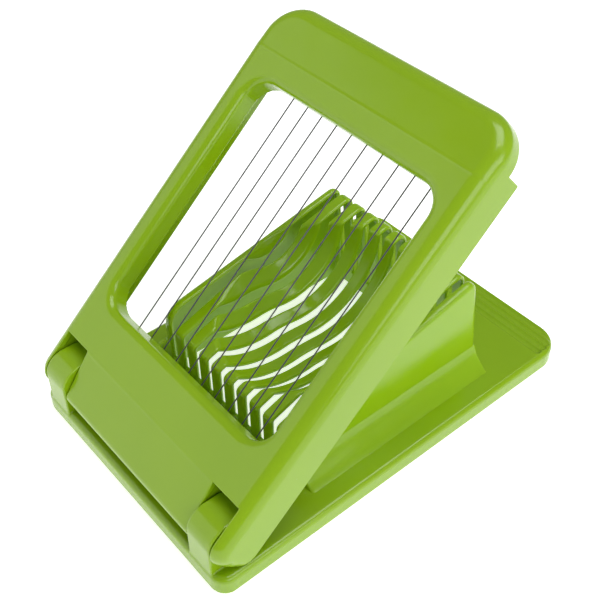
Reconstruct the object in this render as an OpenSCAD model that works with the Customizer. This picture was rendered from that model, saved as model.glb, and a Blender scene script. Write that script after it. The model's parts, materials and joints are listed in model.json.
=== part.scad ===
// Egg slicer with a hinged, wire-strung lid over a slotted egg cradle.
// Units are mm. The origin is the centre of the base footprint on the worktop,
// +Z is up, the hinge is at the +Y end and the finger grip is at the -Y end.

/* [Overall size] */
// Length of the base plate, along Y
base_l = 132.8; // [126:0.1:142]
// Width of the base plate, along X
base_w = 88; // [84:0.5:96]
// Height of the plate's top face above the worktop
plate_h = 6; // [5.6:0.1:6.4]

/* [Lid position] */
// Opening angle of the lid: 0 is closed on the cradle
lid_open = 41.7; // [0:0.1:90]

/* [Slicing] */
// Number of cutting wires
wire_count = 10; // [4:1:10]
// Distance between neighbouring wires
wire_pitch = 5.93; // [5.5:0.01:6]
// Diameter of a cutting wire
wire_d = 0.4; // [0.3:0.05:0.6]
// Width of the slots between the cradle's slats
slot_w = 2; // [1.6:0.1:2.4]

/* [Walls] */
// Wall of the cradle
cradle_t = 1.5; // [1.2:0.1:1.8]
// Side and end walls of the lid
skirt_t = 2.2; // [1.8:0.1:2.6]
// Top wall of the base plate and of the lid
top_t = 2.4; // [2:0.1:2.8]

/* [Fastenings] */
// Diameter of a hinge pin
pin_d = 4; // [3:0.1:4.6]
// Radial running clearance of the pins in the base's hinge ears
pin_gap = 0.05; // [0.02:0.01:0.1]
// Number of screws holding each wire clamp bar
screw_count = 3; // [2:1:4]

/* [Hidden] */
$fn = 96;
eps = 0.01;

green = [0.52, 0.72, 0.12];
steel = [0.72, 0.73, 0.75];

// base plate
base_r = 9;
base_r_hinge = 4.5;
base_e = 1.8;
rim_t = 2.4;
end_y = base_l / 2;
groove_pitch = 2.42;
groove_r = 1.9;
groove_deep = 0.7;

// hinge
ear_half = 8;
ear_top = 21.3;
ear_round = 6.5;
hinge_y = end_y - 0.2 - ear_half;
hinge_z = 12.2;
ear_in = 30;
ear_out = 39.6;
bore_r = pin_d / 2 + pin_gap;

// lid, closed pose: measured from the hinge axis
lid_w = base_w - 1.2;
lid_top = 9.4;
lid_bot = -5.8;
arm_r = 6;
arm_corner = 3.5;
lid_far = 123.7;
lid_e = 4.4;
lid_r = 11;
side_far = 112.5;
grip_bot = 0.6;
notch_r = 10.4;
notch_in = ear_in - 0.4;
notch_out = ear_out + 0.4;
win_near = 24.3;
win_far = 100.5;
win_x = 35.1;
win_r = 7;
win_bot = 2.6;
tongue_drop = 2.1;

// cradle
cr_x = 31.5;
cr_near = 30.6;
cr_far = -38.6;
cr_foot = 1;
near_z = 20.7;
crest_y = -34.9;
crest_z = 38.5;
flare_r = 12.5;
flare_h = 7;
flare_w = 6;
flare_centre = [11.82, 11.06];
bed_r = 24.6;
bed_off = 7.8;
slot_x = (wire_count - 1) / 2 * wire_pitch;
rim_x = slot_x;

// clamp bars, wires and screws, in the lid's closed frame
wire_h = -0.1;
bar_top = 2.2;
bar_bot = -2.2;
bar_x = slot_x + 4.6;
bar_near = [13.4, 22.4];
bar_far = [102.6, 109.8];
ferrule_r = 0.8;
ferrule_l = 2.4;
screw_r = 1.1;

// Points of an arc, from angle a to angle b
function arc(c, r, a, b, n = 8) =
  [for (i = [0 : n]) c + r * [cos(a + (b - a) * i / n), sin(a + (b - a) * i / n)]];

// Rectangle with corner radius r at the -Y end and r2 at the +Y end
module rounded_rect(w, l, r, r2 = 0) {
  rb = r2 > 0 ? r2 : r;
  translate([-w / 2, r - l / 2])
    square([w, l - r - rb]);
  translate([r - w / 2, -l / 2])
    square([w - 2 * r, l / 2]);
  translate([rb - w / 2, 0])
    square([w - 2 * rb, l / 2]);
  for (x = [-1, 1]) {
    translate([x * (w / 2 - r), r - l / 2])
      circle(r);
    translate([x * (w / 2 - rb), l / 2 - rb])
      circle(rb);
  }
}

// What a round of radius e leaves outside an edge at the origin
module edge_waste(e) {
  difference() {
    translate([-e, -e])
      square(e + 2);
    translate([-e, -e])
      circle(e);
  }
}

// Slab with plan corners r at the -Y end and rb at the +Y end, its top edge rounded by e
module soft_slab(w, l, h, r, rb, e) {
  difference() {
    linear_extrude(h)
      rounded_rect(w, l, r, rb);
    for (s = [-1, 1]) {
      translate([s * w / 2, (r - rb) / 2, h])
        rotate([90, 0, s > 0 ? 0 : 180])
          linear_extrude(l - r - rb, center = true)
            edge_waste(e);
      translate([0, s * l / 2, h])
        rotate([90, 0, s * 90])
          linear_extrude(w - 2 * (s > 0 ? rb : r), center = true)
            edge_waste(e);
      for (t = [-1, 1])
        translate([s * (w / 2 - (t > 0 ? rb : r)), t * (l / 2 - (t > 0 ? rb : r)), h])
          rotate(s > 0 ? (t > 0 ? 0 : 270) : (t > 0 ? 90 : 180))
            rotate_extrude(angle = 90)
              translate([t > 0 ? rb : r, 0])
                edge_waste(e);
    }
  }
}

// Everything on the lid is drawn closed, with the hinge axis on X, then opened
module on_lid() {
  translate([0, hinge_y, hinge_z])
    rotate([-lid_open, 0, 0])
      children();
}

// A bar along X between two x values
module x_cylinder(r, x0, x1) {
  translate([x0, 0, 0])
    rotate([0, 90, 0])
      cylinder(r = r, h = x1 - x0);
}

// ---- base plate with the two hinge ears ----
module ear(side) {
  translate([side > 0 ? ear_in : -ear_out, hinge_y, 0])
    rotate([90, 0, 90])
      linear_extrude(ear_out - ear_in) {
        translate([-ear_half, 0])
          square([2 * ear_half, ear_top - ear_round]);
        translate([ear_round - ear_half, 0])
          square([2 * (ear_half - ear_round), ear_top]);
        for (s = [-1, 1])
          translate([s * (ear_half - ear_round), ear_top - ear_round])
            circle(ear_round);
      }
}

module base_plate() {
  color(green)
    difference() {
      union() {
        soft_slab(base_w, base_l, plate_h, base_r, base_r_hinge, base_e);
        for (s = [-1, 1]) ear(s);
      }
      difference() {
        translate([0, 0, -1])
          linear_extrude(1 + plate_h - top_t)
            rounded_rect(base_w - 2 * rim_t, base_l - 2 * rim_t, base_r - rim_t, base_r_hinge - rim_t);
        // hinge blocks stay solid inside
        for (s = [-1, 1])
          translate([s > 0 ? ear_in : -ear_out, hinge_y - ear_half, -2])
            cube([ear_out - ear_in, 2 * ear_half + 1, 20]);
        // stiffening ribs under the plate, clear of the cradle
        for (s = [-1, 1])
          translate([s * 36.4 - 0.8, -base_l / 2, 1])
            cube([1.6, base_l, 20]);
        for (y = [cr_near + 5, cr_far - 5, cr_far - 15])
          translate([-base_w / 2, y - 0.8, 1])
            cube([base_w, 1.6, 20]);
      }
      // opening for the cradle
      translate([-cr_x - 0.15, cr_far - 0.15, -1])
        cube([2 * cr_x + 0.3, cr_near - cr_far + 0.3, plate_h + 2]);
      // scalloped finger grip
      for (i = [0 : 3])
        translate([0, 2.3 - end_y + i * groove_pitch, plate_h + groove_r - groove_deep])
          x_cylinder(groove_r, 3.4 - base_w / 2, base_w / 2 - 3.4);
      // pin bores
      translate([0, hinge_y, hinge_z])
        x_cylinder(bore_r, -base_w / 2, base_w / 2);
    }
}

// ---- cradle: a thin shell cut into slats by the wire slots ----
// Side outline of the two rims, grown or shrunk by d
function rim_side(d) = concat(
  [[cr_near + d, cr_foot]],
  arc([cr_near - 7, 19.5], 7 + d, 0, 76),
  arc([crest_y + 1, crest_z - 3], 3 + d, 76, 165),
  [[cr_far - d, 13], [cr_far - d, cr_foot]]);

// Side outline of the slats between them
function slat_side(d) = concat(
  [[cr_near + d, cr_foot]],
  arc([cr_near - 2, near_z - 2], 2 + d, 0, 70, 4),
  [[6, 28.6 + d]],
  arc([crest_y + 1, crest_z - 3], 3 + d, 76, 165),
  [[cr_far - d, 13], [cr_far - d, cr_foot]]);

module side_extrude(pts, x0, x1) {
  translate([x0, 0, 0])
    rotate([90, 0, 90])
      linear_extrude(x1 - x0)
        polygon(pts);
}

module cradle_body(d) {
  w = cr_x + d;
  side_extrude(slat_side(d), -rim_x, rim_x);
  side_extrude(rim_side(d), rim_x - eps, w);
  side_extrude(rim_side(d), -w, eps - rim_x);
}

// The hollow that the egg lies in, grown by d
module egg_hollow(d) {
  translate([0, 8.6, 44])
    sphere(29.6 + d);
  // the bed is a lemon-shaped round about an axis along X
  translate([0, -6.2, 38.4])
    rotate([0, 90, 0])
      rotate_extrude()
        intersection() {
          translate([-bed_off, 0])
            circle(bed_r + bed_off + d);
          translate([0, -50])
            square([50, 100]);
        }
}

module flare(s) {
  translate([s * (cr_x - eps), cr_near, plate_h])
    rotate([90, 0, 0])
      linear_extrude(cr_near - cr_far)
        difference() {
          translate([s > 0 ? 0 : -flare_w, 0])
            square([flare_w, flare_h]);
          translate([s * flare_centre[0], flare_centre[1]])
            circle(flare_r);
        }
}

module egg_cradle() {
  color(green)
    difference() {
      union() {
        difference() {
          cradle_body(0);
          egg_hollow(0);
          difference() {
            translate([0, 0, -1])
              cradle_body(-cradle_t);
            egg_hollow(cradle_t);
          }
        }
        for (s = [-1, 1]) flare(s);
      }
      // wire slots, open through both ends
      for (i = [0 : wire_count - 1])
        translate([i * wire_pitch - slot_x - slot_w / 2, cr_far - 5, plate_h + 1])
          cube([slot_w, cr_near - cr_far + 10, 60]);
    }
}

// ---- lid ----
module lid_outer() {
  len = lid_far + 30;
  intersection() {
    difference() {
      translate([0, len / 2 - lid_far, lid_bot])
        soft_slab(lid_w, len, lid_top - lid_bot, lid_r, lid_r, lid_e);
      // the arms end on a flat with rounds of radius arm_r above and about the hinge
      difference() {
        translate([-lid_w, 0, -20])
          cube([2 * lid_w, 40, 40]);
        x_cylinder(arm_r, -lid_w - 1, lid_w + 1);
        translate([0, 0, lid_top - arm_r])
          x_cylinder(arm_r, -lid_w - 1, lid_w + 1);
        translate([-lid_w - 1, -1, 0])
          cube([2 * lid_w + 2, 1 + arm_r, lid_top - arm_r]);
      }
    }
    // upright corners of the arms
    translate([0, arm_r - 100, -20])
      linear_extrude(40)
        rounded_rect(lid_w, 200, arm_corner);
  }
}

module lid_frame() {
  color(green)
    on_lid()
      difference() {
        union() {
          difference() {
            lid_outer();
            // hollow underside
            translate([0, -(side_far + 2.8) / 2, lid_bot - 1])
              linear_extrude(1 + lid_top - top_t - lid_bot)
                rounded_rect(lid_w - 2 * skirt_t, side_far - 7.2, 3);
            // finger room under the grip
            translate([-lid_w, -lid_far - 10, lid_bot - 10])
              cube([2 * lid_w, lid_far + 10 - side_far, grip_bot - lid_bot + 10]);
            translate([0, -118.2, grip_bot - 1])
              linear_extrude(1 + lid_top - top_t - grip_bot)
                rounded_rect(lid_w - 18, 6.6, 3);
          }
          // walls around the window
          translate([0, -(win_near + win_far) / 2, win_bot])
            linear_extrude(lid_top - 1 - win_bot)
              rounded_rect(2 * win_x + 4, win_far - win_near + 4, win_r + 2);
          // cheeks of the tongue between the ears
          for (s = [-1, 1])
            translate([s > 0 ? notch_in - 3 : -notch_in, -notch_r - 2, 0])
              cube([3, notch_r + 2, lid_top - 2]);
          for (s = [-1, 1])
            translate([s > 0 ? notch_in - 3 : -notch_in, 0, 0])
              rotate([0, 90, 0])
                cylinder(r = 5, h = 3);
          // arms
          for (s = [-1, 1])
            translate([s > 0 ? notch_out : -lid_w / 2 + 1, -12, -4])
              cube([lid_w / 2 - 1 - notch_out, 12, 10]);
          // bosses for the clamp screws
          for (y = [bar_near, bar_far], i = [0 : screw_count - 1])
            translate([screw_x(i), -(y[0] + y[1]) / 2, bar_top])
              cylinder(r = 2.6, h = lid_top - top_t - bar_top + 0.5);
        }
        // window
        translate([0, -(win_near + win_far) / 2, -20])
          linear_extrude(40)
            rounded_rect(2 * win_x, win_far - win_near, win_r);
        // notches for the ears
        for (s = [-1, 1])
          translate([s > 0 ? notch_in : -notch_out, -notch_r, -20])
            cube([notch_out - notch_in, 40, 40]);
        // the tongue slopes down to a lip
        translate([-notch_in - eps, -notch_r, lid_top])
          rotate([-atan(tongue_drop / notch_r), 0, 0])
            cube([2 * notch_in + 2 * eps, 30, 10]);
        // tongue's underside
        translate([-notch_in + 3, -notch_r - 2.5, -20])
          cube([2 * notch_in - 6, 30, 20 + 3.2]);
        // pin bores
        x_cylinder(pin_d / 2 + 0.02, -notch_out - 2.2, notch_out + 2.2);
        // screw holes
        for (y = [bar_near, bar_far], i = [0 : screw_count - 1])
          translate([screw_x(i), -(y[0] + y[1]) / 2, bar_top - 1])
            cylinder(r = screw_r + 0.02, h = 4.4);
      }
}

// ---- hinge pins ----
module hinge_pin(s) {
  color(steel)
    on_lid()
      x_cylinder(pin_d / 2, s > 0 ? notch_in - 2.8 : -notch_out - 2, s > 0 ? notch_out + 2 : 2.8 - notch_in);
}

module hinge_pin_left() hinge_pin(1);

module hinge_pin_right() hinge_pin(-1);

// ---- clamp bars under the lid, holding the wires ----
function screw_x(i) = screw_slot(i) * wire_pitch;

// Screws stand midway between two wires
function screw_slot(i) =
  round((i - (screw_count - 1) / 2) * (wire_count - 2) / (screw_count - 1))
  + (wire_count % 2 == 0 ? 0 : 0.5);

module clamp_bar(y, outer) {
  color(green)
    on_lid()
      difference() {
        translate([-bar_x, -y[1], bar_bot])
          cube([2 * bar_x, y[1] - y[0], bar_top - bar_bot]);
        // holes for the wires, with pockets for their ferrules
        for (i = [0 : wire_count - 1])
          translate([i * wire_pitch - slot_x, -y[1] - 1, wire_h])
            rotate([-90, 0, 0])
              cylinder(r = wire_d / 2 + 0.05, h = y[1] - y[0] + 2);
        for (i = [0 : wire_count - 1])
          translate([i * wire_pitch - slot_x, outer > 0 ? -y[1] - 1 : -y[0] - ferrule_l, wire_h])
            rotate([-90, 0, 0])
              cylinder(r = ferrule_r + 0.05, h = ferrule_l + 1);
        // countersunk screw holes
        for (i = [0 : screw_count - 1])
          translate([screw_x(i), -(y[0] + y[1]) / 2, bar_bot - 1]) {
            cylinder(r = screw_r + 0.1, h = 10);
            cylinder(r = 2.1, h = 2.4);
          }
      }
}

module clamp_bar_hinge() clamp_bar(bar_near, -1);

module clamp_bar_grip() clamp_bar(bar_far, 1);

module clamp_screws(y) {
  color(steel)
    on_lid()
      for (i = [0 : screw_count - 1])
        translate([screw_x(i), -(y[0] + y[1]) / 2, bar_bot + 0.2])
          difference() {
            union() {
              cylinder(r = 2, h = 1.2);
              cylinder(r = screw_r, h = 7);
            }
            for (a = [0, 90])
              rotate(a)
                translate([-1.2, -0.25, -1])
                  cube([2.4, 0.5, 1.7]);
          }
}

module clamp_screws_hinge() clamp_screws(bar_near);

module clamp_screws_grip() clamp_screws(bar_far);

module ferrules(y, outer) {
  color(steel)
    on_lid()
      for (i = [0 : wire_count - 1])
        translate([i * wire_pitch - slot_x, outer > 0 ? -y[1] + 0.1 : -y[0] - ferrule_l + 0.1, wire_h])
          rotate([-90, 0, 0])
            difference() {
              cylinder(r = ferrule_r, h = ferrule_l - 0.2);
              translate([0, 0, -1])
                cylinder(r = wire_d / 2 + 0.01, h = ferrule_l + 2);
            }
}

module ferrules_hinge() ferrules(bar_near, -1);

module ferrules_grip() ferrules(bar_far, 1);

// ---- cutting wires, number 1 at the +X side ----
module wire(n) {
  if (n <= wire_count)
    color(steel)
      on_lid()
        translate([slot_x - (n - 1) * wire_pitch, -bar_far[1] + 0.2, wire_h])
          rotate([-90, 0, 0])
            cylinder(r = wire_d / 2, h = bar_far[1] - bar_near[0] - 0.4, $fn = 24);
}

base_plate();
egg_cradle();
lid_frame();
hinge_pin_left();
hinge_pin_right();
clamp_bar_hinge();
clamp_bar_grip();
clamp_screws_hinge();
clamp_screws_grip();
ferrules_hinge();
ferrules_grip();
wire(1);  // wire_01
wire(2);  // wire_02
wire(3);  // wire_03
wire(4);  // wire_04
wire(5);  // wire_05
wire(6);  // wire_06
wire(7);  // wire_07
wire(8);  // wire_08
wire(9);  // wire_09
wire(10);  // wire_10
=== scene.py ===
"""Egg slicer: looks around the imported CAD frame.

The three moulded parts are drawn as smooth distance fields in millimetres, meshed on graded grids and
pulled onto the exact surface. Everything else is the CAD's own nodes with detailed materials.
"""
import json
import math

import bmesh
import bpy
import numpy as np
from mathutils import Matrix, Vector

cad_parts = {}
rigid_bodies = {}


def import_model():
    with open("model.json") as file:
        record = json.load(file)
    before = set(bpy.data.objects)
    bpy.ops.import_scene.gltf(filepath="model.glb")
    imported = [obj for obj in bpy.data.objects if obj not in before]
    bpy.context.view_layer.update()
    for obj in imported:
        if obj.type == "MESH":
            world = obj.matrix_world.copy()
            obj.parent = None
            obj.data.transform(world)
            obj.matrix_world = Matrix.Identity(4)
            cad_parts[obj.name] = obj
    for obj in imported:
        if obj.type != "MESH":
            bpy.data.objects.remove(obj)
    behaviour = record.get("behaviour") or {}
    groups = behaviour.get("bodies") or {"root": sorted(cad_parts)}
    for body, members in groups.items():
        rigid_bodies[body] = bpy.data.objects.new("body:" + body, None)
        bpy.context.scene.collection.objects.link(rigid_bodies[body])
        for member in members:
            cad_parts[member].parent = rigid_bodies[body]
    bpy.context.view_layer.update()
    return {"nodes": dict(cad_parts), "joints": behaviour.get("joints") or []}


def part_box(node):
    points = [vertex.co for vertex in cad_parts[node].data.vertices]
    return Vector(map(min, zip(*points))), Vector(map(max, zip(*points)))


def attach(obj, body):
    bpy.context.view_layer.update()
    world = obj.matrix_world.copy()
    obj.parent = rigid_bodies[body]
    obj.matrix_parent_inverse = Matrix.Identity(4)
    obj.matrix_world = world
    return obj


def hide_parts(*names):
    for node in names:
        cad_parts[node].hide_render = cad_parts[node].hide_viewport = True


for leftover in list(bpy.data.objects):
    bpy.data.objects.remove(leftover)
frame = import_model()
MM = 0.001

# ---------------------------------------------------------------- sizes, mm
# base plate
BASE_W, BASE_L = (round(2 * v / MM, 3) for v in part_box("base_plate")[1][:2])
PLATE_H = 6.0
BASE_R_GRIP, BASE_R_HINGE, BASE_EDGE = 9.0, 4.5, 1.8
RIM_T, TOP_T = 2.4, 2.4
# scalloped finger grip
GROOVES, GROOVE_PITCH, GROOVE_R, GROOVE_DEEP = 4, 2.42, 1.9, 0.7
GROOVE_Y, GROOVE_END = 2.3 - BASE_L / 2, BASE_W / 2 - 1.4
# hinge
HINGE = frame["joints"][0]
HINGE_Y, HINGE_Z = (round(v / MM, 3) for v in HINGE["pos_m"][1:])
OPEN = math.radians(-HINGE["range_deg"][0])
EAR_IN, EAR_OUT, EAR_HALF, EAR_TOP, EAR_FOOT, EAR_ROUND = 30.0, 39.6, 8.0, 21.3, -20.0, 6.5
EAR_GAP = 0.4
PIN_R, PIN_END = 2.05, 42.2

# lid, drawn closed and measured from the hinge axis
LID_HALF, LID_TOP, LID_BOT = BASE_W / 2 - 0.6, 9.4, -5.8
LID_FAR, LID_R, LID_EDGE, LID_EDGE_LOW = 123.7, 11.0, 4.4, 1.2
GRIP_LEN, SIDE_FAR, GRIP_BOT = 60.0, 112.5, 0.6
CREASE_GRIP, GRIP_SLOPE = 107.9, 0.055
BEAD_H, BEAD_W = 0.07, 0.38
WIN_X, WIN_NEAR, WIN_FAR, WIN_R, WIN_EDGE, WIN_BOT, WIN_WALL = 35.1, 24.3, 100.5, 7.0, 2.7, 2.6, 2.0
WIN_MID, WIN_HALF = (WIN_NEAR + WIN_FAR) / 2, (WIN_FAR - WIN_NEAR) / 2
# its hinge end: two arms, and the tongue between the notches for the ears
NEAR_END = 6.0
NOTCH_IN, NOTCH_OUT, NOTCH_R = EAR_IN - EAR_GAP, EAR_OUT + EAR_GAP, 10.4
ARM_R, ARM_CORNER, ARM_EDGE_LOW = 6.0, 3.5, 0.8
TONGUE_DROP, LIP_R, LIP_BOT, LIP_ROUND = 2.1, 5.9, 3.2, 2.0
# its underside
SKIRT, ROOM_MID, ROOM_HALF, ROOM_R = 2.2, 57.65, 52.65, 3.0
GRIP_MID, GRIP_X, GRIP_HALF, GRIP_T = 118.2, 34.9, 3.3, 3.2
CHEEK_T, CHEEK_R, ARM_LEN, ARM_BOT = 3.0, 5.0, 12.0, -4.0
BOSS_ROWS, BOSS_COLUMNS, BOSS_R, BOSS_BOT = (17.9, 106.2), (-4, 0, 4), 2.6, 2.2

# cradle
PITCH, SLOTS, SLOT_W = 5.93, 10, 2.0
SLOT_X = (SLOTS - 1) / 2 * PITCH
CR_X, CR_NEAR, CR_FAR, CR_T, CR_FOOT = 31.5, 30.6, -38.6, 1.5, 0.9
DRAFT = 0.032
NEAR_Z, NEAR_R, RIM_NEAR_Z, RIM_NEAR_R = 20.7, 2.0, 19.5, 7.0
SLAT_BEND_Y, SLAT_BEND_Z = 6.0, 28.6
CREST_Y, CREST_Z, CREST_R, CREST_LOW = -34.9, 38.5, 3.0, 13.0
OUTLINE_BOT = -3.0
CORNER_ROUND, RIM_ROUND, SLAT_ROUND = 1.6, 1.1, 0.75
FLARE_R, FLARE_W, FLARE_TOP, FLARE_CX, FLARE_CZ = 12.5, 5.9, 13.0, 11.72, 11.06
# room of the egg: a ball over a lemon-shaped bed
BALL_Y, BALL_Z, BALL_R = 8.6, 44.0, 29.6
BED_Y, BED_Z, BED_R, BED_OFF, BED_BLEND = -6.2, 38.4, 24.6, 7.8, 3.0

# ribs under the base plate, clear of the cradle
RIB_X, RIB_HALF, RIB_BOT = 36.4, 0.8, 1.0
RIB_ROWS = (CR_NEAR + 5, CR_FAR - 5, CR_FAR - 15)


# ---------------------------------------------------------------- distance fields
def smax(a, b, r):
    """Intersection with a round of radius r along the edge."""
    u, v = np.maximum(a + r, 0), np.maximum(b + r, 0)
    return np.minimum(-r, np.maximum(a, b)) + np.sqrt(u * u + v * v)


def smin(a, b, r):
    """Union with a fillet of radius r in the corner."""
    return -smax(-a, -b, r)


def rect(x, y, cx, cy, hx, hy, r):
    """Rectangle with corner radius r."""
    qx, qy = np.abs(x - cx) - hx + r, np.abs(y - cy) - hy + r
    return np.minimum(np.maximum(qx, qy), 0) + np.hypot(np.maximum(qx, 0), np.maximum(qy, 0)) - r


def slab(v, lo, hi):
    """Between two parallel planes."""
    return np.abs(v - (lo + hi) / 2) - (hi - lo) / 2


def step01(v, lo, hi):
    """Smooth step from 0 at lo to 1 at hi."""
    t = np.clip((v - lo) / (hi - lo), 0, 1)
    return t * t * (3 - 2 * t)


def poly(y, z, pts):
    """Signed distance to a closed polygon."""
    y, z = np.broadcast_arrays(y, z)
    best = np.full(y.shape, 1e9)
    inside = np.zeros(y.shape, bool)
    for i, (ay, az) in enumerate(pts):
        by, bz = pts[i - 1]
        ey, ez = by - ay, bz - az
        wy, wz = y - ay, z - az
        t = np.clip((wy * ey + wz * ez) / (ey * ey + ez * ez), 0, 1)
        best = np.minimum(best, (wy - ey * t) ** 2 + (wz - ez * t) ** 2)
        if ez != 0:
            cross = (az > z) != (bz > z)
            inside ^= cross & (y < ey * (z - az) / ez + ay)
    return np.where(inside, -1, 1) * np.sqrt(best)


def arc(cy, cz, r, a, b, n=10):
    """Points of an arc from angle a to angle b, in degrees."""
    t = np.radians(np.linspace(a, b, n + 1))
    return list(zip(cy + r * np.cos(t), cz + r * np.sin(t)))


# ---------------------------------------------------------------- meshing
TINY = 1e-9
# the four cells round a grid edge, in order
RING = ((1, 1), (0, 1), (0, 0), (1, 0))


def graded(lo, hi, coarse, zones):
    """Grid lines from lo to hi: coarse steps, with finer ones in the zones (start, end, step)."""
    out, v = [lo], lo
    while v < hi:
        s = coarse
        for a, b, f in zones:
            if a - TINY <= v < b:
                s = min(s, f)
            elif v < a < v + s:
                s = min(s, a - v)
        v += s
        out.append(v)
    return np.array(out)


def gradient(f, p, h=0.02):
    """Central differences of f at the points p."""
    g = np.empty_like(p)
    for k in range(3):
        d = np.zeros(3)
        d[k] = h
        a, b = p + d, p - d
        g[:, k] = (f(a[:, 0], a[:, 1], a[:, 2]) - f(b[:, 0], b[:, 1], b[:, 2])) / (2 * h)
    return g


def find_crossings(v, grids):
    """Grid edges on which v changes sign. For each axis: their low ends, whether those are inside, and
    the points of the crossings."""
    inside = v < 0
    found = []
    for k in range(3):
        low, high = [slice(None)] * 3, [slice(None)] * 3
        low[k], high[k] = slice(0, -1), slice(1, None)
        low, high = tuple(low), tuple(high)
        hit = np.argwhere(inside[low] != inside[high])
        at_low, at_high = v[low][tuple(hit.T)], v[high][tuple(hit.T)]
        t = at_low / (at_low - at_high)
        p = np.stack([grids[j][hit[:, j]] for j in range(3)], 1).astype(float)
        p[:, k] += t * (grids[k][hit[:, k] + 1] - grids[k][hit[:, k]])
        found.append((hit, at_low < 0, p))
    return found


def step_back(hit, i, j, di, dj):
    """The cells di and dj steps back from hit along the axes i and j."""
    cell = hit.copy()
    cell[:, i] -= di
    cell[:, j] -= dj
    return cell


def cell_points(crossings, shape):
    """Numbers the crossed cells, and gives each the mean of the crossings on its edges."""
    total = np.zeros((*shape, 3), np.float32)
    count = np.zeros(shape, np.int8)
    for k, (hit, _, p) in enumerate(crossings):
        i, j = (m for m in range(3) if m != k)
        for di, dj in ((0, 0), (0, 1), (1, 0), (1, 1)):
            cell = step_back(hit, i, j, di, dj)
            ok = (cell >= 0).all(1) & (cell < shape).all(1)
            np.add.at(total, tuple(cell[ok].T), p[ok])
            np.add.at(count, tuple(cell[ok].T), 1)
    used = count > 0
    index = np.full(shape, -1)
    index[used] = np.arange(used.sum())
    return index, (total[used] / count[used][:, None]).astype(float)


def net(crossings, index):
    """One quad through the four cells round each crossed grid edge, facing outwards."""
    quads = []
    for k, (hit, low_inside, _) in enumerate(crossings):
        i, j = ((1, 2), (2, 0), (0, 1))[k]
        ok = (hit[:, i] > 0) & (hit[:, j] > 0)
        ok &= (hit[:, i] < index.shape[i]) & (hit[:, j] < index.shape[j])
        hit, low_inside = hit[ok], low_inside[ok]
        q = np.stack([index[tuple(step_back(hit, i, j, di, dj).T)] for di, dj in RING], 1)
        q[~low_inside] = q[~low_inside][:, ::-1]
        quads.append(q)
    return np.concatenate(quads)


def settle(f, points, reach, rounds=4):
    """Moves the points onto f = 0 along its gradient, by reach at most in each round."""
    for _ in range(rounds):
        g = gradient(f, points)
        d = f(points[:, 0], points[:, 1], points[:, 2])
        move = -d[:, None] * g / np.maximum((g * g).sum(1), 0.2)[:, None]
        length = np.linalg.norm(move, axis=1, keepdims=True)
        points = points + move * np.minimum(1, reach / np.maximum(length, TINY))
    return points


def surface(f, grids):
    """Vertices, quads and normals of f = 0, as a net with one vertex in each crossed cell."""
    gx, gy, gz = grids
    v = f(gx[:, None, None], gy[None, :, None], gz[None, None, :])
    v = np.where(np.abs(v) < TINY, TINY, v)
    crossings = find_crossings(v, grids)
    index, points = cell_points(crossings, tuple(len(g) - 1 for g in grids))
    quads = net(crossings, index)
    points = settle(f, points, 0.5 * min(np.diff(g).min() for g in grids))
    g = gradient(f, points)
    return points, quads, g / np.maximum(np.linalg.norm(g, axis=1, keepdims=True), TINY)


def lid_to_frame(p, is_normal=False):
    """Closed lid coordinates (x, distance from the hinge, height) to the row frame."""
    c, s = math.cos(OPEN), math.sin(OPEN)
    out = np.stack([p[:, 0], -p[:, 1] * c + p[:, 2] * s, p[:, 1] * s + p[:, 2] * c], 1)
    return out if is_normal else out + np.array([0, HINGE_Y, HINGE_Z])


def moulded(name, field, grids, to_frame=None, flip=False):
    """A mesh object of a distance field, with its exact normals."""
    points, quads, normals = surface(field, grids)
    if to_frame:
        points, normals = to_frame(points), to_frame(normals, True)
    if flip:
        quads = quads[:, ::-1]
    mesh = bpy.data.meshes.new(name)
    mesh.vertices.add(len(points))
    mesh.vertices.foreach_set("co", (points * MM).astype(np.float32).ravel())
    mesh.loops.add(quads.size)
    mesh.loops.foreach_set("vertex_index", quads.astype(np.int32).ravel())
    mesh.polygons.add(len(quads))
    mesh.polygons.foreach_set("loop_start", np.arange(0, quads.size, 4, dtype=np.int32))
    mesh.polygons.foreach_set("use_smooth", np.ones(len(quads), bool))
    mesh.update()
    mesh.validate()
    mesh.normals_split_custom_set_from_vertices(normals.astype(np.float32))
    obj = bpy.data.objects.new(name, mesh)
    bpy.context.scene.collection.objects.link(obj)
    print(name, len(points), "vertices", len(quads), "quads")
    return obj


# ---------------------------------------------------------------- base
def base_plan(x, y, inset=0.0):
    """Outline of the plate, with tighter corners at the hinge end."""
    r = np.where(y < 0, BASE_R_GRIP, BASE_R_HINGE)
    return rect(x, y, 0, 0, BASE_W / 2 - inset, BASE_L / 2 - inset, r - inset)


def base_slab(x, y, z):
    """The plate with its scalloped finger grip, which ends short of the sides."""
    body = smax(base_plan(x, y), z - PLATE_H, BASE_EDGE)
    for i in range(GROOVES):
        cy = GROOVE_Y + i * GROOVE_PITCH
        cut = np.hypot(y - cy, z - (PLATE_H + GROOVE_R - GROOVE_DEEP)) - GROOVE_R
        cut = smax(cut, np.abs(x) - GROOVE_END, 1.2)
        body = smax(body, -cut, 0.15)
    return body


def base_hollow(x, y, z):
    """The hollow underside, less the ribs and the solid blocks under the ears."""
    ax = np.abs(x)
    hollow = smax(base_plan(x, y, RIM_T), z - (PLATE_H - TOP_T), 0.4)
    ribs = np.abs(ax - RIB_X) - RIB_HALF
    for row in RIB_ROWS:
        ribs = np.minimum(ribs, np.abs(y - row) - RIB_HALF)
    ribs = np.maximum(ribs, RIB_BOT - z)
    blocks = np.maximum(slab(ax, EAR_IN, EAR_OUT), HINGE_Y - EAR_HALF - y)
    return smax(hollow, -np.minimum(ribs, blocks), 0.3)


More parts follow.
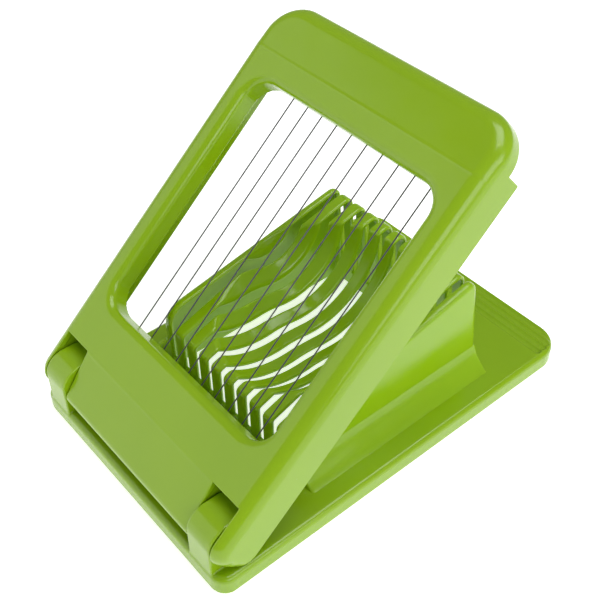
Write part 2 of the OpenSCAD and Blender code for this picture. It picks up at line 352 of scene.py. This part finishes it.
def base_field(x, y, z):
    ear = rect(y, z, HINGE_Y, (EAR_TOP + EAR_FOOT) / 2, EAR_HALF, (EAR_TOP - EAR_FOOT) / 2, EAR_ROUND)
    ear = smax(ear, slab(np.abs(x), EAR_IN, EAR_OUT), 0.4)
    body = smin(base_slab(x, y, z), ear, 0.5)
    body = smax(body, -base_hollow(x, y, z), 0.25)
    # opening under the cradle, its edge hidden by the cradle's walls
    hidden = 0.7
    opening = rect(x, y, 0, (CR_NEAR + CR_FAR) / 2, CR_X - hidden, (CR_NEAR - CR_FAR) / 2 - hidden, 0.5)
    body = np.maximum(body, -np.maximum(opening, z - EAR_TOP))
    bores = np.hypot(y - HINGE_Y, z - HINGE_Z) - PIN_R
    body = np.maximum(body, -bores)
    return smax(body, -z, 0.3)


def base_grids():
    """Fine along the sides, at the scallops and at the hinge."""
    gx = graded(-45, 45, 0.95, [(-45, -38.8, 0.42), (-31.5, -29, 0.42), (29, 31.5, 0.42), (38.8, 45, 0.42)])
    gy = graded(-67.5, 67.5, 0.95, [(-67.5, -54.5, 0.33), (-39.5, -36.5, 0.5), (28.5, 31.5, 0.5),
                                    (49, 67.5, 0.42)])
    gz = graded(-0.6, 22.2, 0.45, [(4, 6.6, 0.33)])
    return gx, gy, gz


# ---------------------------------------------------------------- cradle
def crest_side(d):
    """The crest and the far end, which both side outlines share."""
    return (arc(CREST_Y + 1, CREST_Z - CREST_R, CREST_R + d, 76, 165)
            + [(CR_FAR - d, CREST_LOW), (CR_FAR - d, OUTLINE_BOT)])


def rim_side(d):
    """Side outline of the two side walls, grown by d."""
    near = arc(CR_NEAR - RIM_NEAR_R, RIM_NEAR_Z, RIM_NEAR_R + d, 0, 76)
    return [(CR_NEAR + d, OUTLINE_BOT)] + near + crest_side(d)


def slat_side(d):
    """Side outline of the slats between them, grown by d."""
    near = arc(CR_NEAR - NEAR_R, NEAR_Z - NEAR_R, NEAR_R + d, 0, 70, 5)
    return [(CR_NEAR + d, OUTLINE_BOT)] + near + [(SLAT_BEND_Y, SLAT_BEND_Z + d)] + crest_side(d)


def egg_room(x, y, z):
    """The hollow that the egg lies in."""
    ball = np.sqrt(x * x + (y - BALL_Y) ** 2 + (z - BALL_Z) ** 2) - BALL_R
    bed = np.hypot(x, np.hypot(y - BED_Y, z - BED_Z) + BED_OFF) - BED_R - BED_OFF
    return smin(ball, bed, BED_BLEND)


def flare_field(x, y, z):
    """The hollow curve in which the side walls run out onto the plate."""
    ax = np.abs(x)
    sunk = 0.6
    flare = FLARE_R - np.hypot(ax - CR_X - FLARE_CX, z - PLATE_H - FLARE_CZ)
    flare = np.maximum(flare, np.maximum(ax - CR_X - FLARE_W - sunk, slab(z, PLATE_H - sunk, FLARE_TOP)))
    flare = smax(flare, slab(y, CR_FAR, CR_NEAR), 0.8)
    return np.maximum(flare, -ax + CR_X - 2 * CR_T)


def slot_field(x, z):
    """The wire slots, from 1 mm above the plate upwards, in line with the wires."""
    ax = np.abs(x)
    n = np.clip(np.round(x / PITCH), -SLOTS / 2, SLOTS / 2)
    across = np.abs(x - n * PITCH) - (PITCH - SLOT_W) / 2
    across = np.where(ax > SLOT_X, SLOT_X + SLOT_W / 2 - ax, across)
    return -np.minimum(across, z - PLATE_H - 1)


def cradle_field(x, y, z):
    ax = np.abs(x)
    wall = ax - (CR_X - np.maximum(DRAFT * (z - PLATE_H), 0))
    sides, between = slab(ax, SLOT_X, 99), ax - SLOT_X - 0.1
    egg = egg_room(x, y, z)
    outer = np.minimum(smax(poly(y, z, rim_side(0)), sides, 0.1),
                       smax(poly(y, z, slat_side(0)), between, 0.1))
    outer = smax(outer, wall, CORNER_ROUND)
    outer = smax(outer, -egg, RIM_ROUND)
    outer = np.minimum(outer, flare_field(x, y, z))
    inner = np.minimum(np.maximum(poly(y, z, rim_side(-CR_T)), sides),
                       np.maximum(poly(y, z, slat_side(-CR_T)), between))
    inner = np.maximum(np.maximum(inner, wall + CR_T), CR_T - egg)
    shell = smax(outer, -inner, 0.3)
    shell = smax(shell, -slot_field(x, z), SLAT_ROUND)
    return smax(shell, CR_FOOT - z, 0.2)


def cradle_grids():
    """Across the slats the lines follow their edges; beyond them they follow the walls and flares."""
    half = (0, 0.7, 1.2, 1.55, 1.82, 2.05, 2.45)
    walls = (29.4, 29.8, 30.2, 30.55, 30.9, 31.2, 31.5, 31.8, 32.2, 32.6,
             33.2, 33.9, 34.7, 35.5, 36.3, 37.0, 37.6, 38.2, 38.9)
    slats = {round(n * PITCH + s * h, 4) for n in range(-5, 6) for s in (-1, 1) for h in half}
    gx = [v for v in slats if abs(v) < 29.0] + [s * v for s in (-1, 1) for v in walls]
    gy = graded(-39.6, 31.8, 0.66, [(-39.6, -29.5, 0.5), (26, 31.8, 0.42)])
    gz = graded(0.3, 39.6, 0.66, [(5.5, 8, 0.4), (18, 29, 0.55)])
    return np.array(sorted(gx)), gy, gz


# ---------------------------------------------------------------- lid, drawn closed
def on_tongue(x):
    return np.abs(x) < (NOTCH_IN + NOTCH_OUT) / 2


def lid_height(x, r):
    """Height of the top: it falls at the grip and along the tongue, with a thin bead on either crease."""
    height = LID_TOP - GRIP_SLOPE * np.maximum(r - CREASE_GRIP, 0)
    height = height - np.where(on_tongue(x), TONGUE_DROP * np.clip((NOTCH_R - r) / NOTCH_R, 0, 2), 0)
    near_bead = np.where(on_tongue(x), np.exp(-((r - NOTCH_R) / BEAD_W) ** 2), 0)
    return height + BEAD_H * (near_bead + np.exp(-((r - CREASE_GRIP) / BEAD_W) ** 2))


def hinge_end(x, r, h, top):
    """Flat arm ends with rounds above and about the hinge; the tongue between them ends in a lip."""
    arm = np.minimum(np.hypot(r, h) - ARM_R, np.hypot(r, h - LID_TOP + ARM_R) - ARM_R)
    arm = np.minimum(arm, np.maximum(np.maximum(-ARM_R - r, -h), h - LID_TOP + ARM_R))
    arm = np.where(r > 0, np.where(h > LID_TOP - ARM_R, h - LID_TOP, -ARM_R), arm)
    above = h - lid_height(x, r)
    lip = smax(smax(-LIP_R - r, LIP_BOT - h, 0.8), above, LIP_ROUND)
    tongue = np.where(r < 0, lip, smax(above, -LIP_R - r, LIP_ROUND))
    return np.where(on_tongue(x), tongue, np.maximum(top, arm))


def lid_edge(r, h):
    """Radius of the side edges: soft at the top, nearly sharp at the bottom."""
    arm = ARM_EDGE_LOW + (ARM_CORNER - ARM_EDGE_LOW) * step01(h, -5.5, -1)
    arm = arm + (LID_EDGE - ARM_CORNER) * step01(h, 1.5, 7.5)
    side = LID_EDGE_LOW + (LID_EDGE - LID_EDGE_LOW) * step01(h, -3.5, 1.5)
    return np.where(r < NEAR_END, arm, side)


def lid_outside(x, r, h, window):
    """The lid as a solid block, with the grip end cut higher underneath."""
    far = rect(x, r, 0, LID_FAR - GRIP_LEN, LID_HALF, GRIP_LEN, LID_R)
    half = np.where(r > GRIP_LEN, far, np.abs(x) - LID_HALF)
    top = smax(h - lid_height(x, r), -window, WIN_EDGE)
    top = np.where(r < NEAR_END, hinge_end(x, r, h, top), top)
    body = smax(half, top, lid_edge(r, h))
    body = smax(body, LID_BOT - h, 0.4)
    return smax(body, -np.maximum(SIDE_FAR - r, h - GRIP_BOT), 0.4)


def lid_room(x, r, h, window):
    """The hollow underside, less the window's walls, the cheeks, the arms and the screw bosses."""
    ax = np.abs(x)
    room = smax(rect(x, r, 0, ROOM_MID, LID_HALF - SKIRT, ROOM_HALF, ROOM_R), h - (LID_TOP - TOP_T), 0.6)
    grip = rect(x, r, 0, GRIP_MID, GRIP_X, GRIP_HALF, ROOM_R)
    room = np.minimum(room, np.maximum(grip, slab(h, GRIP_BOT - 3, LID_TOP - GRIP_T)))
    keep = np.maximum(window - WIN_WALL, WIN_BOT - h)
    cheeks = np.maximum(np.maximum(slab(ax, NOTCH_IN - CHEEK_T, NOTCH_IN), r - NOTCH_R - 2),
                        np.minimum(np.hypot(r, h) - CHEEK_R, np.maximum(-h, -r)))
    arms = np.maximum(np.maximum(NOTCH_OUT - ax, r - ARM_LEN), ARM_BOT - h)
    keep = np.minimum(np.minimum(keep, cheeks), arms)
    for row in BOSS_ROWS:
        for column in BOSS_COLUMNS:
            boss = np.hypot(x - column * PITCH, r - row) - BOSS_R
            keep = np.minimum(keep, np.maximum(boss, BOSS_BOT - h))
    return np.maximum(room, -keep)


def lid_field(x, r, h):
    ax = np.abs(x)
    window = rect(x, r, 0, WIN_MID, WIN_X, WIN_HALF, WIN_R)
    body = lid_outside(x, r, h, window)
    body = smax(body, -lid_room(x, r, h, window), 0.3)
    body = smax(body, -window, 0.3)
    notches = np.maximum(slab(ax, NOTCH_IN, NOTCH_OUT), r - NOTCH_R)
    body = smax(body, -notches, 0.35)
    under_tongue = np.maximum(np.maximum(ax - NOTCH_IN + CHEEK_T, r - NOTCH_R - 2.5), h - LIP_BOT)
    body = smax(body, -under_tongue, 0.3)
    bores = np.maximum(np.hypot(r, h) - PIN_R, ax - PIN_END)
    return np.maximum(body, -bores)


def lid_grids():
    """Fine along the sides and notches, at the window, at the grip and at the hinge."""
    gx = graded(-45, 45, 0.95, [(-45, -41, 0.4), (-41, -39, 0.3), (-38.6, -33.5, 0.5), (-30.6, -29, 0.3),
                                (29, 30.6, 0.3), (33.5, 38.6, 0.5), (39, 41, 0.3), (41, 45, 0.4)])
    gr = graded(-7, 125.4, 0.95, [(-7, 13, 0.42), (21, 27, 0.45), (98, 103.5, 0.45), (107, 109, 0.4),
                                  (111, 125.4, 0.42)])
    gh = graded(-6.5, 10.6, 0.45, [(7, 10.6, 0.33)])
    return gx, gr, gh


base = moulded("base_shell", base_field, base_grids())
cradle = moulded("cradle_shell", cradle_field, cradle_grids())
lid = moulded("lid_shell", lid_field, lid_grids(), lid_to_frame, flip=True)
for piece, body, node, slot in ((base, "base", "base_plate", "base_green"),
                                (cradle, "base", "egg_cradle", "cradle_green"),
                                (lid, "lid", "lid_frame", "lid_green")):
    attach(piece, body)
    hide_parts(node)


# ---------------------------------------------------------------- materials
# scales of the procedural textures, in cycles a metre
DRIFT, SMEAR, RIPPLE, GRAIN, STREAK = 22, 90, 60, 1400, 900
GLOSS_MIN, GLOSS_MAX, GRAIN_PART = 0.12, 0.28, 0.12
PLASTIC_IOR, SCATTER_COLOUR, SCATTER_DEPTH = 1.5, (0.9, 1.0, 0.15), 0.0012


def new_material(name):
    mat = bpy.data.materials.new(name)
    mat.use_nodes = True
    nt = mat.node_tree
    bsdf = next(n for n in nt.nodes if n.type == "BSDF_PRINCIPLED")
    return mat, nt, bsdf


def noise(nt, coords, scale, detail=3.0, rough=0.5):
    n = nt.nodes.new("ShaderNodeTexNoise")
    n.inputs["Scale"].default_value = scale
    n.inputs["Detail"].default_value = detail
    n.inputs["Roughness"].default_value = rough
    nt.links.new(coords, n.inputs["Vector"])
    return n.outputs["Fac"]


def blend(nt, fac, a, b):
    """Mix of two colours, the first of which may be a socket."""
    m = nt.nodes.new("ShaderNodeMix")
    m.data_type = "RGBA"
    if isinstance(a, tuple):
        m.inputs["A"].default_value = (*a, 1)
    else:
        nt.links.new(a, m.inputs["A"])
    m.inputs["B"].default_value = (*b, 1)
    nt.links.new(fac, m.inputs["Factor"])
    return m.outputs["Result"]


def ramp(nt, fac, lo, hi, a, b):
    """Maps fac from [lo, hi] to the values or colours a and b."""
    n = nt.nodes.new("ShaderNodeMapRange")
    n.inputs["From Min"].default_value = lo
    n.inputs["From Max"].default_value = hi
    nt.links.new(fac, n.inputs["Value"])
    if isinstance(a, tuple):
        return blend(nt, n.outputs["Result"], a, b)
    n.inputs["To Min"].default_value = a
    n.inputs["To Max"].default_value = b
    return n.outputs["Result"]


def coords_of(nt):
    return nt.nodes.new("ShaderNodeTexCoord").outputs["Object"]


def bump(nt, bsdf, height, strength, distance):
    b = nt.nodes.new("ShaderNodeBump")
    b.inputs["Strength"].default_value = strength
    b.inputs["Distance"].default_value = distance
    nt.links.new(height, b.inputs["Height"])
    nt.links.new(b.outputs["Normal"], bsdf.inputs["Normal"])


def edge_highlight_mask(nt, lo=0.52, hi=0.62):
    """Mask of the painted highlight: 1 on sharp convex edges, 0 elsewhere."""
    g = nt.nodes.new("ShaderNodeNewGeometry")
    return ramp(nt, g.outputs["Pointiness"], lo, hi, 0.0, 1.0)


def plastic(name, low, high, edge, scatter):
    """Glossy moulded plastic: slow colour drift, faint ripple, fine handling marks, and a painted highlight
    that makes sharp convex edges paler.
    """
    mat, nt, bsdf = new_material(name)
    co = coords_of(nt)
    drift = ramp(nt, noise(nt, co, DRIFT, 2), 0.35, 0.65, low, high)
    # painted highlight: sharp convex edges take the paler edge colour
    nt.links.new(blend(nt, edge_highlight_mask(nt), drift, edge), bsdf.inputs["Base Color"])
    smear = ramp(nt, noise(nt, co, SMEAR, 4, 0.6), 0.3, 0.75, GLOSS_MIN, GLOSS_MAX)
    nt.links.new(smear, bsdf.inputs["Roughness"])
    ripple = nt.nodes.new("ShaderNodeMath")
    ripple.operation = "MULTIPLY_ADD"
    nt.links.new(noise(nt, co, GRAIN, 2), ripple.inputs[0])
    ripple.inputs[1].default_value = GRAIN_PART
    nt.links.new(noise(nt, co, RIPPLE, 2), ripple.inputs[2])
    bump(nt, bsdf, ripple.outputs[0], 0.25, 0.0004)
    bsdf.inputs["IOR"].default_value = PLASTIC_IOR
    bsdf.inputs["Subsurface Weight"].default_value = scatter
    bsdf.inputs["Subsurface Radius"].default_value = SCATTER_COLOUR
    bsdf.inputs["Subsurface Scale"].default_value = SCATTER_DEPTH
    return mat


def steel(name, colour, rough, grain):
    """Drawn or turned stainless steel with fine streaks."""
    mat, nt, bsdf = new_material(name)
    co = coords_of(nt)
    stretch = nt.nodes.new("ShaderNodeMapping")
    stretch.inputs["Scale"].default_value = grain
    nt.links.new(co, stretch.inputs["Vector"])
    streak = noise(nt, stretch.outputs["Vector"], STREAK, 3)
    dark = tuple(0.7 * c for c in colour)
    nt.links.new(ramp(nt, streak, 0.3, 0.7, dark, colour), bsdf.inputs["Base Color"])
    nt.links.new(ramp(nt, streak, 0.3, 0.7, rough * 0.8, rough * 1.3), bsdf.inputs["Roughness"])
    bump(nt, bsdf, streak, 0.15, 0.00005)
    bsdf.inputs["Metallic"].default_value = 1.0
    return mat


def paint(obj, mat):
    if obj.data.materials:
        for i in range(len(obj.data.materials)):
            obj.data.materials[i] = mat
    else:
        obj.data.materials.append(mat)


def soften(obj):
    """Small bevel on the edges of a CAD node."""
    bevel = obj.modifiers.new("edge", "BEVEL")
    bevel.width, bevel.segments = 0.3 * MM, 2
    bevel.limit_method = "ANGLE"
    bevel.harden_normals = True


# the third colour of each plastic is a painted highlight on sharp convex edges
GREEN = plastic("green_plastic", (0.245, 0.420, 0.003), (0.265, 0.445, 0.005), (0.32, 0.50, 0.02), 0.15)
CRADLE_GREEN = plastic("cradle_plastic", (0.275, 0.475, 0.003), (0.300, 0.505, 0.005),
                       (0.38, 0.58, 0.02), 0.5)
WIRE = steel("wire_steel", (0.16, 0.16, 0.16), 0.45, (1, 0.02, 0.02))
HARDWARE = steel("hardware_steel", (0.60, 0.60, 0.62), 0.28, (0.1, 1, 1))

for piece in (base, lid):
    paint(piece, GREEN)
paint(cradle, CRADLE_GREEN)
for node, obj in frame["nodes"].items():
    if node.startswith("wire"):
        paint(obj, WIRE)
    elif node.startswith("clamp_bar"):
        paint(obj, GREEN)
        soften(obj)
    else:
        paint(obj, HARDWARE)


# ---------------------------------------------------------------- stage, light, camera; metres
TABLE_HALF, TABLE_DROP, TABLE_GLOW, SKY = 3.0, 0.0002, 0.7, 0.28
AIM = Vector((0, 0, 0.03))
# name, place, size, power
LIGHTS = (("panel", (0.72, 0.82, 0.50), (1.1, 1.1), 3.6),
          ("top", (-0.25, -0.35, 1.4), (0.9, 0.9), 10),
          ("fill", (-1.1, 0.05, 0.55), (1.0, 0.5), 4.8))
CAM_LENS, CAM_SENSOR, CAM_CLIP = 60.36, 36, (0.01, 20)
CAM_AT, CAM_TURN = (-0.1600, 0.1359, 0.22925), (46.832, 0.4515, -130.0416)


def table_material():
    """White light-table top: it glows faintly, so slots and undersides read white."""
    mat, nt, bsdf = new_material("table")
    co = coords_of(nt)
    tone = ramp(nt, noise(nt, co, 8, 3), 0.3, 0.7, (0.90, 0.90, 0.90), (0.93, 0.93, 0.93))
    nt.links.new(tone, bsdf.inputs["Base Color"])
    nt.links.new(tone, bsdf.inputs["Emission Color"])
    bsdf.inputs["Emission Strength"].default_value = TABLE_GLOW
    bsdf.inputs["Roughness"].default_value = 0.6
    bsdf.inputs["Specular IOR Level"].default_value = 0.1
    return mat


def stage():
    bm = bmesh.new()
    bmesh.ops.create_grid(bm, x_segments=4, y_segments=4, size=TABLE_HALF)
    mesh = bpy.data.meshes.new("floor")
    bm.to_mesh(mesh)
    bm.free()
    floor = bpy.data.objects.new("floor", mesh)
    bpy.context.scene.collection.objects.link(floor)
    floor.location.z = -TABLE_DROP
    paint(floor, table_material())


def sky():
    world = bpy.data.worlds.new("studio")
    bpy.context.scene.world = world
    world.use_nodes = True
    world.node_tree.nodes["Background"].inputs["Color"].default_value = (1, 1, 1, 1)
    world.node_tree.nodes["Background"].inputs["Strength"].default_value = SKY


def area(name, at, size, power):
    """Rectangular soft light, aimed at the slicer."""
    light = bpy.data.lights.new(name, "AREA")
    light.energy = power
    light.shape = "RECTANGLE"
    light.size, light.size_y = size
    obj = bpy.data.objects.new(name, light)
    obj.location = Vector(at)
    obj.rotation_euler = (AIM - Vector(at)).to_track_quat("-Z", "Y").to_euler()
    bpy.context.scene.collection.objects.link(obj)


def camera():
    lens = bpy.data.cameras.new("camera")
    lens.lens, lens.sensor_width = CAM_LENS, CAM_SENSOR
    lens.clip_start, lens.clip_end = CAM_CLIP
    obj = bpy.data.objects.new("camera", lens)
    obj.location = CAM_AT
    obj.rotation_euler = [math.radians(v) for v in CAM_TURN]
    bpy.context.scene.collection.objects.link(obj)
    bpy.context.scene.camera = obj
    bpy.context.scene.view_settings.view_transform = "Standard"


stage()
sky()
for light in LIGHTS:
    area(*light)
camera()
